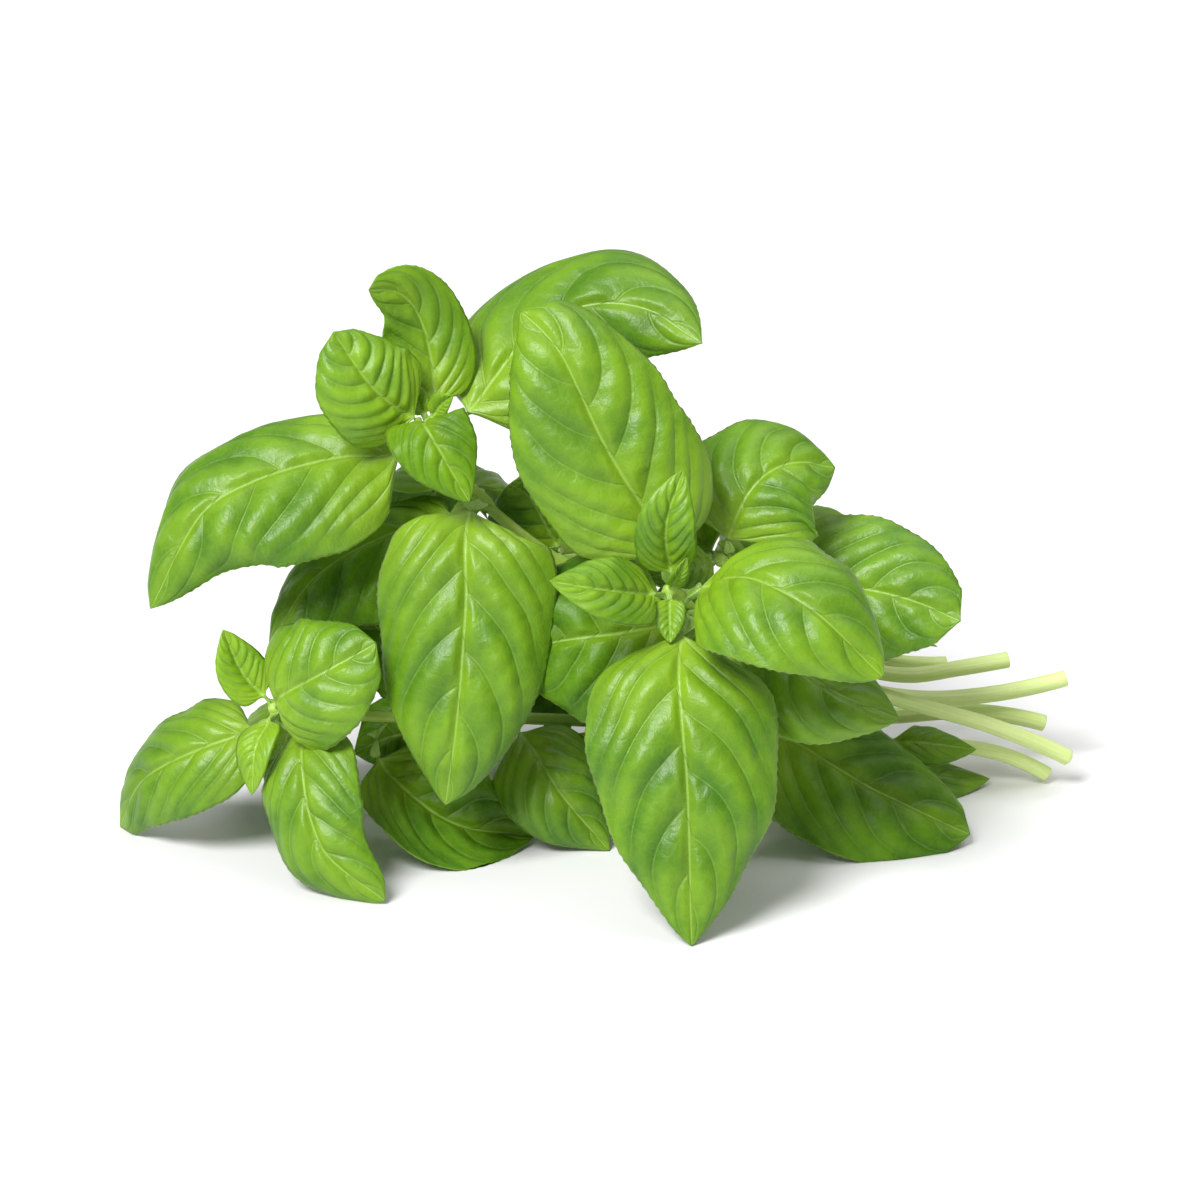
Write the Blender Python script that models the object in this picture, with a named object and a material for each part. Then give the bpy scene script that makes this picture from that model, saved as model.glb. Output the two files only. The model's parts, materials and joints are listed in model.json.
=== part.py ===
"""A bunch of cut sweet basil, lying on its side on a flat surface.

Six sprigs lie across each other.  Their cut stem ends point along +X, their shoot
tips point along -X and up, and the side that is meant to be seen faces -Y.
Lengths are in millimetres here and are scaled to metres when a mesh is made.
"""
import math

import bmesh
import bpy
import numpy as np

METRES = 0.001

# Driving dimensions, in millimetres.
BLADE_THICKNESS = 0.5
MIDRIB_DEPTH = 1.2
MIDRIB_GROOVE = 0.25
PETIOLE_RADIUS = 0.85
STALK_END_DIMPLE = 0.2
CUT_END_RADIUS = 2.0
CUT_END_BULGE = 0.3
SHOOT_TIP_RADIUS = 1.1
CLEARANCE = 0.35
PETIOLE_SHARE = 0.11
SURFACE = 0.0

# Rings along a blade, as shares of its length, and points across one ring.
BLADE_STATIONS = (0.05, 0.15, 0.3, 0.47, 0.64, 0.8, 0.92)
ACROSS_SHARES = (-0.7, -0.35, 0.0, 0.35, 0.7)
STEM_SIDES = 8
RING_SPACING = 11.0

# Colour and roughness of each kind of tissue.
TISSUES = {
    "leaf_young": ((0.30, 0.50, 0.06), 0.42),
    "leaf_bright": ((0.18, 0.38, 0.04), 0.38),
    "leaf_deep": ((0.07, 0.20, 0.02), 0.42),
    "stem_green": ((0.55, 0.68, 0.25), 0.5),
}


def unit(vector):
    return vector / np.linalg.norm(vector)


def across(vector, axis):
    """The part of a vector at right angles to a unit axis, as a unit vector."""
    return unit(vector - axis * np.dot(vector, axis))


def turned(vector, axis, angle):
    """The vector, at right angles to the axis, turned about it."""
    return vector * math.cos(angle) + np.cross(axis, vector) * math.sin(angle)


class Path:
    """A smooth curve through a few points, read by the distance along it."""

    def __init__(self, points, steps=24):
        knots = [np.array(p, float) for p in points]
        knots = [2 * knots[0] - knots[1]] + knots + [2 * knots[-1] - knots[-2]]
        samples = []
        for a, b, c, d in zip(knots, knots[1:], knots[2:], knots[3:]):
            for t in np.linspace(0, 1, steps, endpoint=False):
                bend = (2 * a - 5 * b + 4 * c - d) * t * t
                cubic = (3 * b - a - 3 * c + d) * t**3
                samples.append(0.5 * (2 * b + (c - a) * t + bend + cubic))
        samples.append(knots[-2])
        self.samples = np.array(samples)
        gaps = np.linalg.norm(np.diff(self.samples, axis=0), axis=1)
        self.marks = np.concatenate([[0.0], np.cumsum(gaps)])
        self.length = self.marks[-1]

    def at(self, distance):
        columns = self.samples.T
        return np.array([np.interp(distance, self.marks, column) for column in columns])

    def heading(self, distance):
        reach = 0.02 * self.length
        ahead = self.at(min(distance + reach, self.length))
        behind = self.at(max(distance - reach, 0.0))
        return unit(ahead - behind)


def material(tissue):
    """The tissue's material, made once and shared."""
    found = bpy.data.materials.get(tissue)
    if found:
        return found
    colour, roughness = TISSUES[tissue]
    made = bpy.data.materials.new(tissue)
    made.use_nodes = True
    shader = made.node_tree.nodes["Principled BSDF"]
    shader.inputs["Base Color"].default_value = (*colour, 1.0)
    shader.inputs["Roughness"].default_value = roughness
    shader.inputs["Metallic"].default_value = 0.0
    return made


def closed_skin(name, rings, start, end, tissue):
    """One closed body: equal rings joined in order, shut by a fan at each end.

    The triangles of a ring's second half mirror those of its first half, so that the
    under side of a thin blade stays parallel to its upper side.
    """
    mesh = bpy.data.meshes.new(name)
    shell = bmesh.new()
    loops = [[shell.verts.new(p * METRES) for p in ring] for ring in rings]
    first = shell.verts.new(start * METRES)
    last = shell.verts.new(end * METRES)
    count = len(loops[0])
    for near, far in zip(loops, loops[1:]):
        for i in range(count):
            j = (i + 1) % count
            on_top = 2 * i < count
            shell.faces.new((near[i], near[j], far[j] if on_top else far[i]))
            shell.faces.new((near[i] if on_top else near[j], far[j], far[i]))
    for i in range(count):
        j = (i + 1) % count
        shell.faces.new((first, loops[0][j], loops[0][i]))
        shell.faces.new((last, loops[-1][i], loops[-1][j]))
    shell.to_mesh(mesh)
    shell.free()
    mesh.shade_smooth()
    mesh.materials.append(material(tissue))
    made = bpy.data.objects.new(name, mesh)
    bpy.context.collection.objects.link(made)
    return made


class Stem:
    """A round stem from its cut end to its shoot tip."""

    def __init__(self, name, points, cut_radius=CUT_END_RADIUS):
        self.path = Path(points)
        self.cut_radius = cut_radius
        rings = []
        count = max(4, round(self.path.length / RING_SPACING))
        for distance in np.linspace(0, self.path.length, count):
            rings.append(self.ring(distance))
        cut = self.path.at(0.0) - self.path.heading(0.0) * CUT_END_BULGE
        tip = self.path.at(self.path.length)
        tip = tip + self.path.heading(self.path.length) * SHOOT_TIP_RADIUS * 0.6
        closed_skin(name, rings, cut, tip, "stem_green")

    def radius(self, distance):
        share = (distance / self.path.length) ** 1.3
        return self.cut_radius + (SHOOT_TIP_RADIUS - self.cut_radius) * share

    def ring(self, distance):
        heading = self.path.heading(distance)
        side = across(np.array([0.0, 0.0, 1.0]), heading)
        centre = self.path.at(distance)
        step = 2 * math.pi / STEM_SIDES
        spokes = [turned(side, heading, step * i) for i in range(STEM_SIDES)]
        return [centre + spoke * self.radius(distance) for spoke in spokes]

    def node(self, below_tip):
        """The axis point where leaves grow, that far below the shoot tip."""
        return self.path.at(self.path.length - below_tip)

    def clear_start(self, stalk):
        """How far along a leaf stalk its end face is clear of this stem."""
        marks = np.linspace(0, self.path.length, 400)
        axis = np.array([self.path.at(mark) for mark in marks])
        for distance in np.arange(0.0, 12.0, 0.1):
            centre = stalk.at(distance)
            gaps = np.linalg.norm(axis - centre, axis=1)
            nearest = int(np.argmin(gaps))
            outward = (centre - axis[nearest]) / max(gaps[nearest], 1e-6)
            slant = np.dot(stalk.heading(distance), outward)
            reach = PETIOLE_RADIUS * math.sqrt(max(0.0, 1.0 - slant * slant))
            if gaps[nearest] - reach > self.radius(marks[nearest]) + CLEARANCE:
                return distance
        raise ValueError("the leaf never leaves its stem")


def outline(share):
    """Half-width of an egg-shaped, pointed blade at a share of its length, 0 to 1."""
    swell = math.sin(math.pi * share**0.72)
    return swell**0.7


def cross_section(half, fold, curl, depth):
    """Points round one blade ring, as sideways and upward offsets from the midrib.

    fold is the angle at which both halves leave the midrib, and curl is how far they
    turn from there to the margin.  depth scales the midrib and the blade's thickness.
    """
    start, turn = math.radians(fold), math.radians(curl)

    def surface(share, sunk):
        """A point of the blade, sunk below its upper side by that thickness."""
        slope = start + turn * abs(share)
        middle_slope = start + 0.5 * turn * abs(share)
        shortening = np.sinc(0.5 * turn * share / math.pi)
        reach = half * abs(share) * shortening
        out = reach * math.cos(middle_slope) + sunk * math.sin(slope) * (share != 0)
        rise = reach * math.sin(middle_slope) - sunk * math.cos(slope)
        return math.copysign(out, share), rise

    upper = [surface(share, 0.0 if share else MIDRIB_GROOVE * depth) for share in ACROSS_SHARES]
    lower = []
    for share in reversed(ACROSS_SHARES):
        lower.append(surface(share, (BLADE_THICKNESS if share else MIDRIB_DEPTH) * depth))
    return [surface(-1.0, 0.0)] + upper + [surface(1.0, 0.0)] + lower


def petiole_section():
    """The same number of points, spread evenly round the leaf stalk."""
    half_count = len(ACROSS_SHARES) + 1
    turns = [math.pi * (1 - i / half_count) for i in range(2 * half_count)]
    return [(PETIOLE_RADIUS * math.cos(t), PETIOLE_RADIUS * math.sin(t)) for t in turns]


def leaf(name, stem, below_tip, points, face, width, fold=8, curl=-45,
         tissue="leaf_bright", rests=False):
    """A leaf on its stalk, from a node on the stem along the points to its tip.

    face is the way that the upper side looks at the middle of the blade.
    """
    path = Path([stem.node(below_tip), *points])
    start = stem.clear_start(path)
    stalk = start + PETIOLE_SHARE * (path.length - start)
    blade = path.length - stalk
    stations = [(start, 0.0), (stalk, 0.0)]
    stations += [(stalk + share * blade, share) for share in BLADE_STATIONS]
    headings = [path.heading(distance) for distance, _ in stations]
    ups = [None] * len(stations)
    middle = len(stations) // 2 + 1
    ups[middle] = across(np.array(face, float), headings[middle])
    for i in range(middle - 1, -1, -1):
        ups[i] = across(ups[i + 1], headings[i])
    for i in range(middle + 1, len(stations)):
        ups[i] = across(ups[i - 1], headings[i])
    rings = []
    for (distance, share), heading, up in zip(stations, headings, ups):
        side = np.cross(heading, up)
        section = petiole_section()
        if share > 0:
            depth = min(1.0, width / 24.0) * (1.0 - 0.6 * share)
            section = cross_section(0.5 * width * outline(share), fold, curl, depth)
        centre = path.at(distance)
        rings.append([centre + side * out + up * rise for out, rise in section])
    tip = path.at(path.length)
    base = path.at(start) + headings[0] * STALK_END_DIMPLE
    if rests:
        lowest = min(tip[2], min(point[2] for ring in rings for point in ring))
        lift = np.array([0.0, 0.0, SURFACE - lowest])
        rings = [[point + lift for point in ring] for ring in rings]
        tip = tip + lift
        base = base + lift
    return closed_skin(name, rings, base, tip, tissue)


def crown_sprig():
    """The tallest sprig, whose tip stands at the upper left of the bunch."""
    stem = Stem("crown_stem", [(117, 50, 23), (96, 46, 20), (70, 38, 24), (30, 28, 42),
                               (-5, 18, 64), (-25, 13, 82), (-34, 11, 95), (-39, 10, 104)])
    leaf("crown_leaf_left", stem, 10, [(-50, 8, 97), (-67, 5, 96), (-91, -1, 87), (-105, -6, 63)],
         face=(-0.25, -0.62, 0.78), width=48, fold=6, curl=-60)
    leaf("crown_leaf_sweeping", stem, 8, [(-25, 17, 111), (-11, 24, 125), (9, 22, 130), (26, 13, 123)],
         face=(0.1, -0.66, 0.74), width=54, fold=-2, curl=-58)
    leaf("crown_leaf_upright", stem, 3, [(-38, 17, 115), (-41, 20, 127), (-46, 18, 134), (-53, 14, 136)],
         face=(0.2, -0.9, 0.4), width=22, fold=4, curl=-12)
    leaf("crown_leaf_ribbed", stem, 2, [(-51, 2, 115), (-61, 4, 129)],
         face=(0.1, -0.85, 0.5), width=28, tissue="leaf_young")
    leaf("crown_leaf_small", stem, 3, [(-40, 0, 108), (-36, -6, 103), (-29, -9, 91)],
         face=(0.0, -0.85, 0.5), width=20, curl=-20, tissue="leaf_deep")
    leaf("crown_leaf_hanging", stem, 24, [(-30, -4, 83), (-30, -13, 68), (-32, -22, 42), (-35, -24, 20)],
         face=(-0.05, -0.93, 0.35), width=45)
    leaf("crown_leaf_shaded", stem, 26, [(-52, 15, 73), (-69, 12, 62), (-78, 6, 46)],
         face=(-0.35, -0.45, 0.8), width=42, fold=2, curl=-65, tissue="leaf_deep")
    leaf("crown_leaf_inner", stem, 55, [(-9, 20, 70), (-15, 18, 82), (-20, 12, 88)],
         face=(-0.2, -0.8, 0.5), width=28, tissue="leaf_deep")
    leaf("crown_leaf_rear", stem, 24, [(-34, 34, 84), (-38, 46, 76), (-40, 54, 58)],
         face=(-0.1, 0.8, 0.6), width=38)
    leaf("crown_leaf_behind", stem, 60, [(12, 34, 66), (22, 46, 62), (28, 54, 50)],
         face=(0.3, 0.4, 0.85), width=30)
    leaf("crown_bud_left", stem, 0, [(-42, 12, 110), (-44, 12, 114)],
         face=(0.3, -0.9, 0.3), width=6, fold=25, curl=-20, tissue="leaf_young")
    leaf("crown_bud_right", stem, 0, [(-36, 9, 109), (-33, 7, 112)],
         face=(-0.2, -0.9, 0.4), width=6, fold=25, curl=-20, tissue="leaf_young")


def front_sprig():
    """The sprig whose tip faces the viewer, right of the middle."""
    stem = Stem("front_stem", [(117, 35, 8), (99, 30, 18), (73, 22, 29), (48, 10, 42),
                               (30, -6, 58), (18, -22, 74)])
    leaf("front_leaf_standing", stem, 6, [(15, -14, 86), (4, -12, 104), (-8, -4, 127), (-17, 4, 134)],
         face=(0.1, -0.95, 0.3), width=44)
    leaf("front_leaf_small_upright", stem, 3, [(17, -25, 90), (21, -22, 104)],
         face=(0.0, -0.95, 0.2), width=15, fold=25, curl=-30, tissue="leaf_young")
    leaf("front_leaf_small_left", stem, 4, [(5, -33, 78), (-10, -37, 82)],
         face=(0.0, -0.7, 0.7), width=18, fold=20, curl=-35, tissue="leaf_young")
    leaf("front_leaf_right", stem, 7, [(34, -34, 82), (51, -46, 78), (67, -50, 63)],
         face=(0.12, -0.62, 0.77), width=42)
    leaf("front_leaf_drooping", stem, 9, [(20, -38, 60), (22, -51, 36), (23, -61, 1)],
         face=(0.0, -0.9, 0.42), width=47, curl=-40, rests=True)
    leaf("front_leaf_inner", stem, 18, [(6, -14, 60), (-9, -12, 57), (-23, -7, 50)],
         face=(-0.1, -0.88, 0.45), width=44, curl=-35, tissue="leaf_deep")
    leaf("front_leaf_under", stem, 22, [(42, -20, 59), (56, -30, 52), (72, -31, 45)],
         face=(0.05, -0.75, 0.66), width=36)
    leaf("front_bud_lower", stem, 0, [(18, -28, 69), (18, -31, 64)],
         face=(0.0, -0.95, 0.3), width=8, fold=20, curl=-20, tissue="leaf_young")
    leaf("front_bud_upper", stem, 0, [(20, -26, 79), (22, -27, 84)],
         face=(0.3, -0.9, 0.2), width=5, fold=25, curl=-20, tissue="leaf_young")


def left_sprig():
    """The low sprig whose rosette lies at the left end."""
    stem = Stem("left_stem", [(112, 50, 11), (93, 48, 15), (60, 40, 16), (10, 24, 22),
                              (-25, 12, 28), (-52, 5, 31), (-76, -7, 38)])
    leaf("left_leaf_long", stem, 4, [(-95, -4, 28), (-109, 3, 17), (-115, 10, 2)],
         face=(-0.1, -0.7, 0.7), width=30, rests=True)
    leaf("left_leaf_narrow", stem, 1, [(-83, -6, 46), (-88, -4, 57)],
         face=(0.3, -0.9, 0.2), width=13, fold=25, curl=-30, tissue="leaf_young")
    leaf("left_leaf_domed", stem, 5, [(-75, -14, 43), (-66, -20, 51), (-51, -18, 59)],
         face=(0.05, -0.8, 0.6), width=34, curl=-45)
    leaf("left_leaf_inner", stem, 40, [(-43, 11, 25), (-50, 11, 23), (-58, 11, 19)],
         face=(0.0, -0.85, 0.5), width=22, tissue="leaf_deep")
    leaf("left_leaf_nodding", stem, 1, [(-80, -16, 32), (-81, -20, 21)],
         face=(-0.6, -0.75, 0.2), width=12, fold=20, curl=-30, tissue="leaf_young")
    leaf("left_leaf_front", stem, 9, [(-69, -22, 29), (-64, -33, 12), (-49, -37, 0)],
         face=(-0.45, -0.8, 0.4), width=28, rests=True)
    leaf("left_leaf_shaded", stem, 6, [(-74, 2, 26), (-79, 3, 13)],
         face=(-0.3, -0.8, 0.3), width=15, tissue="leaf_deep")
    leaf("left_leaf_cupped", stem, 27, [(-50, 2, 22), (-34, -3, 10), (-14, 0, 5)],
         face=(0.15, -0.72, 0.68), width=35, fold=24, curl=10, tissue="leaf_deep", rests=True)
    leaf("left_leaf_behind", stem, 12, [(-70, 16, 35), (-74, 34, 26), (-76, 46, 4)],
         face=(-0.3, 0.5, 0.8), width=36, rests=True)
    leaf("left_leaf_rising", stem, 48, [(-42, 24, 37), (-52, 27, 45), (-62, 28, 54)],
         face=(0.0, -0.9, 0.4), width=26, tissue="leaf_deep")
    leaf("left_leaf_hidden", stem, 84, [(1, 33, 27), (-12, 37, 29), (-26, 36, 27)],
         face=(0.0, -0.9, 0.4), width=30, tissue="leaf_deep")
    leaf("left_leaf_middle", stem, 60, [(-15, 4, 26), (-8, -4, 17), (4, -5, 2)],
         face=(0.1, -0.8, 0.55), width=28, rests=True)


def low_sprig():
    """The sprig that lies on the surface, under the others."""
    stem = Stem("low_stem", [(112, 38, 2.3), (96, 36, 10), (75, 33, 12), (45, 20, 20),
                             (18, 6, 26), (2, 1, 33)])
    leaf("low_leaf_right", stem, 42, [(48, 7, 25), (64, 1, 17), (91, -2, 4)],
         face=(0.0, -0.5, 0.86), width=42, rests=True, tissue="leaf_deep")
    leaf("low_leaf_middle", stem, 2, [(4, 8, 28), (5, 10, 17), (9, 9, 3)],
         face=(0.1, -0.95, 0.2), width=21, rests=True, tissue="leaf_deep")
    leaf("low_leaf_far_right", stem, 60, [(60, 20, 12), (78, 29, 7), (98, 36, 2)],
         face=(0.0, -0.4, 0.9), width=24, rests=True)
    leaf("low_leaf_tucked", stem, 78, [(78, 26, 16), (94, 28, 13)],
         face=(0.0, -0.6, 0.8), width=12, tissue="leaf_deep")
    leaf("low_leaf_rising", stem, 28, [(14, 16, 34), (1, 19, 42), (-11, 20, 46)],
         face=(-0.1, -0.85, 0.5), width=26, tissue="leaf_deep")
    leaf("low_leaf_behind", stem, 32, [(22, 27, 18), (16, 43, 14), (8, 60, 3)],
         face=(0.0, 0.4, 0.9), width=40, rests=True)


def right_sprig():
    """The sprig at the upper right, behind the front one."""
    stem = Stem("right_stem", [(103, 55, 26), (73, 50, 24), (54, 38, 40), (42, 22, 56), (30, 4, 72)])
    leaf("right_leaf_upper", stem, 4, [(33, 4, 80), (39, 8, 90), (48, 14, 93), (58, 18, 90)],
         face=(-0.2, -0.75, 0.62), width=40, curl=-40)
    leaf("right_leaf_rear", stem, 20, [(60, 12, 62), (76, 8, 60), (88, 4, 56)],
         face=(0.05, -0.85, 0.52), width=38, curl=-30)
    leaf("right_leaf_left", stem, 7, [(22, 13, 75), (10, 13, 79), (-4, 11, 79)],
         face=(0.0, -0.9, 0.4), width=30, tissue="leaf_deep")
    leaf("right_leaf_inner", stem, 12, [(30, 14, 58), (24, 13, 48), (17, 10, 36)],
         face=(0.0, -0.9, 0.35), width=28, tissue="leaf_deep")
    leaf("right_leaf_lower", stem, 34, [(60, 30, 48), (72, 30, 46), (84, 28, 40)],
         face=(0.1, 0.3, 0.9), width=30)
    leaf("right_leaf_behind", stem, 20, [(46, 34, 68), (52, 46, 70), (60, 56, 62)],
         face=(0.2, 0.5, 0.8), width=38)
    leaf("right_bud", stem, 0, [(27, 0, 72), (21, -2, 71), (13, -3, 70)],
         face=(0.0, -0.9, 0.4), width=14, tissue="leaf_young")


def back_sprig():
    """The sprig on the far side, away from the viewer."""
    stem = Stem("back_stem", [(88, 62, 22), (72, 60, 24), (45, 56, 34), (15, 48, 50), (-10, 42, 62)])
    leaf("back_leaf_left", stem, 6, [(-30, 52, 56), (-48, 60, 48), (-58, 62, 30)],
         face=(-0.3, 0.5, 0.8), width=36)
    leaf("back_leaf_drooping", stem, 6, [(-14, 58, 52), (-22, 66, 30), (-28, 68, 4)],
         face=(-0.1, 0.9, 0.4), width=42, rests=True)
    leaf("back_leaf_standing", stem, 4, [(-6, 46, 76), (0, 52, 90), (2, 60, 98)],
         face=(0.0, 0.9, 0.4), width=28)
    leaf("back_leaf_right", stem, 32, [(26, 60, 36), (38, 70, 22), (48, 72, 4)],
         face=(0.3, 0.8, 0.5), width=36, rests=True)
    leaf("back_leaf_small", stem, 2, [(-18, 50, 66), (-25, 58, 66)],
         face=(-0.2, 0.6, 0.8), width=16, fold=20, curl=-30, tissue="leaf_young")
    leaf("back_bud", stem, 0, [(-13, 38, 68), (-15, 37, 73)],
         face=(0.0, 0.7, 0.5), width=8, fold=25, curl=-20, tissue="leaf_young")


def centre_on_surface():
    """Moves the bunch sideways until the middle of its box is over the origin."""
    leaves_and_stems = list(bpy.data.objects)
    points = np.array([v.co for thing in leaves_and_stems for v in thing.data.vertices])
    middle = (points.min(axis=0) + points.max(axis=0)) / 2
    for thing in leaves_and_stems:
        thing.location = (-middle[0], -middle[1], 0.0)
    bpy.context.view_layer.update()


def build():
    for thing in list(bpy.data.objects):
        bpy.data.objects.remove(thing)
    crown_sprig()
    front_sprig()
    left_sprig()
    low_sprig()
    right_sprig()
    back_sprig()
    centre_on_surface()


build()
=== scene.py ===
"""The looks of a bunch of cut sweet basil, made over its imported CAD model.

A CAD leaf is a solid of twelve-point rings along a midrib.  Its rings are read back from
the frame, a smooth blade is spread through them, and the veins, the quilting between them,
the toothed margin and the ribs of the underside are raised on that blade.  Stems are read
back and made smooth in the same way.
Lengths are in millimetres until a mesh is written, and then in metres.
"""
import json
import math

import bmesh
import bpy
import numpy as np
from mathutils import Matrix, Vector


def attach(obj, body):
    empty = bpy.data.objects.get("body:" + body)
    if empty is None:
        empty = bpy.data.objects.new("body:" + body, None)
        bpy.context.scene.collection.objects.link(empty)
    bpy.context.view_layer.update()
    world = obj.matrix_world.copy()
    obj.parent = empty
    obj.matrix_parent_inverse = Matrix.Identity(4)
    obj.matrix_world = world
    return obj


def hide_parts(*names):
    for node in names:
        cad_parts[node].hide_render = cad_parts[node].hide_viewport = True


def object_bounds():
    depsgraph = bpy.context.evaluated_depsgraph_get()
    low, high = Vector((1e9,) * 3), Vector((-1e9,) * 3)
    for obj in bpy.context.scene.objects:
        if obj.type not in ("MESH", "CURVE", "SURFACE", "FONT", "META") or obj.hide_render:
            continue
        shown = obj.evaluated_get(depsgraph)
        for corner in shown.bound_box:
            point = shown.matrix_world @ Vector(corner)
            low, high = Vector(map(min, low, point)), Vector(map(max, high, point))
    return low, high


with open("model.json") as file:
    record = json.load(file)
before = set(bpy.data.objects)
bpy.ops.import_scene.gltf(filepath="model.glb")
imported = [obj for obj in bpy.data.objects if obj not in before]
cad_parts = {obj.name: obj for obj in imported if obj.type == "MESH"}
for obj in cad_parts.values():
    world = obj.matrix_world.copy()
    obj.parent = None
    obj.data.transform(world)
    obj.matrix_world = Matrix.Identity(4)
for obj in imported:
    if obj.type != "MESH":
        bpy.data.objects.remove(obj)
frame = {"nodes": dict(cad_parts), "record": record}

cad_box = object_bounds()

METRES = 0.001
LEAF_SIDES = 12
STEM_SIDES = 8
WELD_DISTANCE = 1e-6
LEAST_HEIGHT = 0.12

# The shares across a blade at which a CAD ring's upper points stand, margin to margin.
RING_SHARES = np.array([-1.0, -0.7, -0.35, 0.0, 0.35, 0.7, 1.0])

SLOTS = {row["node"]: row["material_slot"] for row in frame["record"]["subparts"]}
STEM_SLOT = "stem_green"

# How each kind of leaf grows: pairs of side veins, how far a side vein runs forward on its
# way to the margin as a share of the blade's length, how high the blade swells between
# veins as a share of their spacing, how thick the blade is, and how deep its teeth are.
HABITS = {
    "leaf_young": {"pairs": 7.0, "rise": 0.42, "swell": 0.27, "thickness": 0.32, "teeth": 0.2},
    "leaf_bright": {"pairs": 5.5, "rise": 0.54, "swell": 0.17, "thickness": 0.36, "teeth": 0.3},
    "leaf_deep": {"pairs": 5.5, "rise": 0.54, "swell": 0.17, "thickness": 0.36, "teeth": 0.3},
}

# A basil blade's outline: its half-width along it, as shares of its length and full width.
OUTLINE_PLACES = np.array(
    [0.0, 0.03, 0.07, 0.12, 0.2, 0.3, 0.42, 0.55, 0.68, 0.8, 0.9, 0.96, 1.0])
OUTLINE_WIDTHS = np.array(
    [0.1, 0.45, 0.69, 0.84, 0.96, 1.0, 0.99, 0.92, 0.76, 0.53, 0.31, 0.145, 0.0])
WIDEST_PLACE = 0.3

# Leaves whose base is fuller (below 1) or slimmer (above 1) than that outline.
BASE_SLIMNESS = {
    "crown_leaf_hanging": 0.7,
    "crown_leaf_left": 0.8,
    "left_leaf_domed": 0.6,
    "front_leaf_drooping": 1.45,
}

# Leaves whose tip is blunter than that outline.
TIP_SLIMNESS = {
    "crown_leaf_hanging": 0.85,
    "crown_leaf_ribbed": 0.65,
    "crown_leaf_upright": 0.75,
    "front_leaf_right": 0.85,
    "front_leaf_standing": 0.65,
    "left_leaf_domed": 0.6,
    "left_leaf_front": 0.8,
    "left_leaf_long": 0.65,
    "low_leaf_right": 0.65,
    "right_leaf_rear": 0.65,
    "right_leaf_upper": 0.7,
}


# ---------------------------------------------------------------- reading the CAD rings


def welded(node):
    """A CAD node's corner points in millimetres, each of them once, and its triangles."""
    shell = bmesh.new()
    shell.from_mesh(frame["nodes"][node].data)
    bmesh.ops.remove_doubles(shell, verts=shell.verts, dist=WELD_DISTANCE)
    shell.verts.index_update()
    points = np.array([vert.co for vert in shell.verts]) / METRES
    triangles = [tuple(vert.index for vert in face.verts) for face in shell.faces]
    shell.free()
    return points, triangles


def neighbours_of(triangles, count):
    """The numbers of the points that share a triangle with each point."""
    touching = [set() for _ in range(count)]
    for triangle in triangles:
        for a in triangle:
            touching[a].update(b for b in triangle if b != a)
    return touching


def walk_ring(members, touching):
    """The members of one ring in order, from the lowest number and either way round."""
    members = set(members)
    order = [min(members)]
    while len(order) < len(members):
        ahead = [m for m in touching[order[-1]] & members if m not in order]
        order.append(min(ahead) if len(order) == 1 else ahead[0])
    return order


def layers_between(start, end, touching):
    """The rings from one pole to the other, each as a list of point numbers in order."""
    seen = {start}
    layer = touching[start]
    rings = []
    while layer != {end}:
        rings.append(walk_ring(layer, touching))
        seen |= layer
        layer = set().union(*(touching[m] for m in layer)) - seen
    return rings


def read_solid(node, sides):
    """A CAD node's rings in order, and its two poles, with the evenly round end first."""
    points, triangles = welded(node)
    touching = neighbours_of(triangles, len(points))
    poles = sorted(range(len(points)), key=lambda p: -len(touching[p]))[:2]

    def unevenness(pole):
        spokes = [np.linalg.norm(points[m] - points[pole]) for m in touching[pole]]
        return np.std(spokes) / np.mean(spokes)

    start, end = sorted(poles, key=unevenness)
    rings = layers_between(start, end, touching)
    assert all(len(ring) == sides for ring in rings), node
    return points, touching, rings, start, end


def turned(points, ring, first, ahead):
    """The ring from its first point on, the same way round as seen from the point ahead."""
    at = ring.index(first)
    ordered = ring[at:] + ring[:at]
    spokes = points[ordered] - points[ordered].mean(axis=0)
    facing = np.cross(spokes, np.roll(spokes, -1, axis=0)).sum(axis=0)
    if np.dot(facing, ahead - points[ring].mean(axis=0)) < 0:
        ordered = ordered[:1] + ordered[:0:-1]
    return ordered


def read_leaf(node):
    """The leaf's rings as points, numbered from the left margin over the upper side.

    The left margin's point is the only one with three neighbours in the next ring, and the
    right margin's point has a single one there.
    """
    points, touching, rings, start, end = read_solid(node, LEAF_SIDES)
    aligned = []
    for ring, after in zip(rings, rings[1:]):
        left = max(ring, key=lambda m: len(touching[m] & set(after)))
        aligned.append(turned(points, ring, left, points[after].mean(axis=0)))
    half = LEAF_SIDES // 2
    right = next(iter(touching[aligned[-1][half]] & set(rings[-1])))
    last = turned(points, rings[-1], right, points[end])
    aligned.append(last[half:] + last[:half])
    return np.array([points[ring] for ring in aligned]), points[start], points[end]


def read_stem(node):
    """The stem's axis points and radii, from its cut end to its shoot tip."""
    points, _, rings, _, _ = read_solid(node, STEM_SIDES)
    centres = np.array([points[ring].mean(axis=0) for ring in rings])
    spokes = [points[ring] - centre for ring, centre in zip(rings, centres)]
    radii = np.linalg.norm(spokes, axis=2).mean(axis=1)
    if radii[0] < radii[-1]:
        centres, radii = centres[::-1], radii[::-1]
    return centres, radii


# ---------------------------------------------------------------- curves and surfaces


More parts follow.
